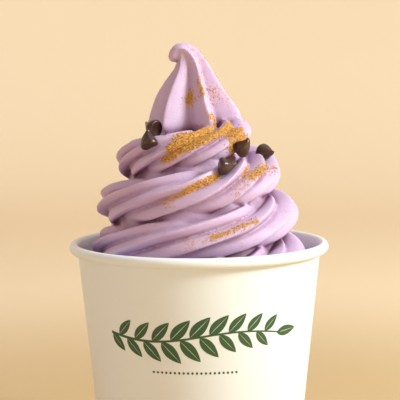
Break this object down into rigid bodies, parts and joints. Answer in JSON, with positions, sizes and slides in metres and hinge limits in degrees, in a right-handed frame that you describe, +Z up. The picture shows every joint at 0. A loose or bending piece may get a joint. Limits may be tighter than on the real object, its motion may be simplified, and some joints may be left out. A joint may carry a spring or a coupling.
{
  "type": "frozen yogurt cup",
  "caption": "Paper cup heaped with a tall piped swirl of frozen yogurt, ribbed and drawn up to a hooked peak, with chocolate chips and crumbs.",
  "frame": {"origin": "middle of the circle on which the cup stands, on the table", "axes": "+Z up along the cup's axis; -Y is the front, +X to the right as seen from the front"},
  "size_m": [0.096, 0.096, 0.1585],
  "materials": {
    "cup_paper": "smooth coated white paper board, satin",
    "base_paper": "coated white paper board, matt",
    "yogurt": "smooth soft-serve, pale berry mauve, softly glossy",
    "chocolate": "dark chocolate, satin",
    "golden_crumb": "dry golden biscuit crumb, matt",
    "dark_crumb": "dry toasted crumb, matt",
    "leaf_ink": "dark green print on coated paper, satin"
  },
  "bodies": {
    "root": {"cup_wall": "cup_paper", "cup_base": "base_paper", "yogurt": "yogurt", "chip_front": "chocolate", "chip_right": "chocolate", "chip_far_right": "chocolate", "chip_left": "chocolate", "chip_far_left": "chocolate"}
  },
  "joints": []
}
